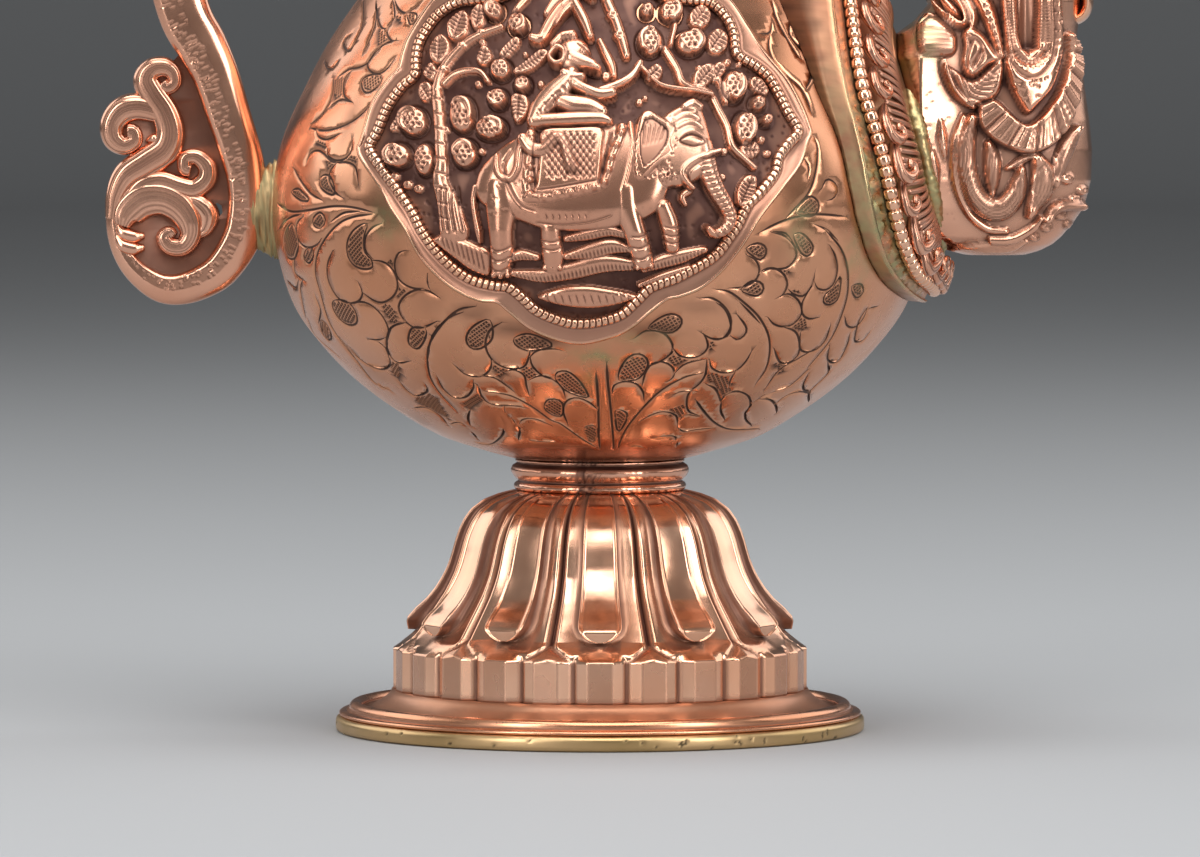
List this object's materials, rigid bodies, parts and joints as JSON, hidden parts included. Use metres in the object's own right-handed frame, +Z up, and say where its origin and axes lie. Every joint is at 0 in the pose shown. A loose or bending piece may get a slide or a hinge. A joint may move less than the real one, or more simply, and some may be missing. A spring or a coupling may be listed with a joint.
{
  "type": "ritual ewer",
  "caption": "Footed copper ritual ewer with a relief medallion on its front and back, a scrolled handle, a sea-dragon spout and a lift-off lid.",
  "frame": {"origin": "centre of the face that the foot ring stands on, on the ewer's axis", "axes": "+Z up along the ewer's axis; the spout is on the +X side, the handle on the -X side and the front medallion faces -Y"},
  "size_m": [0.1749, 0.123, 0.2242],
  "materials": {
    "raised_copper": "hammered and chased copper, satin, with a pink tone",
    "cast_copper": "cast and chiselled copper, polished on its ridges, red-brown in its recesses",
    "polished_copper": "burnished copper",
    "patinated_copper": "darkened copper",
    "brass_metal": "cast brass and brazing, pitted"
  },
  "bodies": {
    "vase": {"foot_ring": "brass_metal", "foot_flange": "raised_copper", "pedestal": "polished_copper", "stem_collar": "cast_copper", "belly": "raised_copper", "belly_shoulder": "raised_copper", "front_medallion_band": "patinated_copper", "front_medallion_rope": "polished_copper", "front_relief_panel": "cast_copper", "back_medallion_band": "patinated_copper", "back_medallion_rope": "polished_copper", "back_relief_panel": "cast_copper", "spout_plate": "raised_copper", "spout_rope": "polished_copper", "spout_scrolls": "patinated_copper", "spout_root_ring": "brass_metal", "makara_head": "cast_copper", "spout_tube": "raised_copper", "spout_lip": "polished_copper", "handle": "cast_copper", "handle_lug": "brass_metal", "handle_top_lug": "brass_metal", "neck_collar": "cast_copper", "neck": "raised_copper", "mouth_plate": "polished_copper"},
    "lid": {"lid_plate": "raised_copper", "lid_plug": "raised_copper", "lid_dome": "raised_copper", "finial_lotus": "cast_copper", "finial_jewel": "polished_copper"}
  },
  "joints": [
    {"name": "lid_lift", "type": "slide", "parent": "vase", "child": "lid", "axis": [0, 0, 1], "range_m": [0, 0.04]}
  ]
}
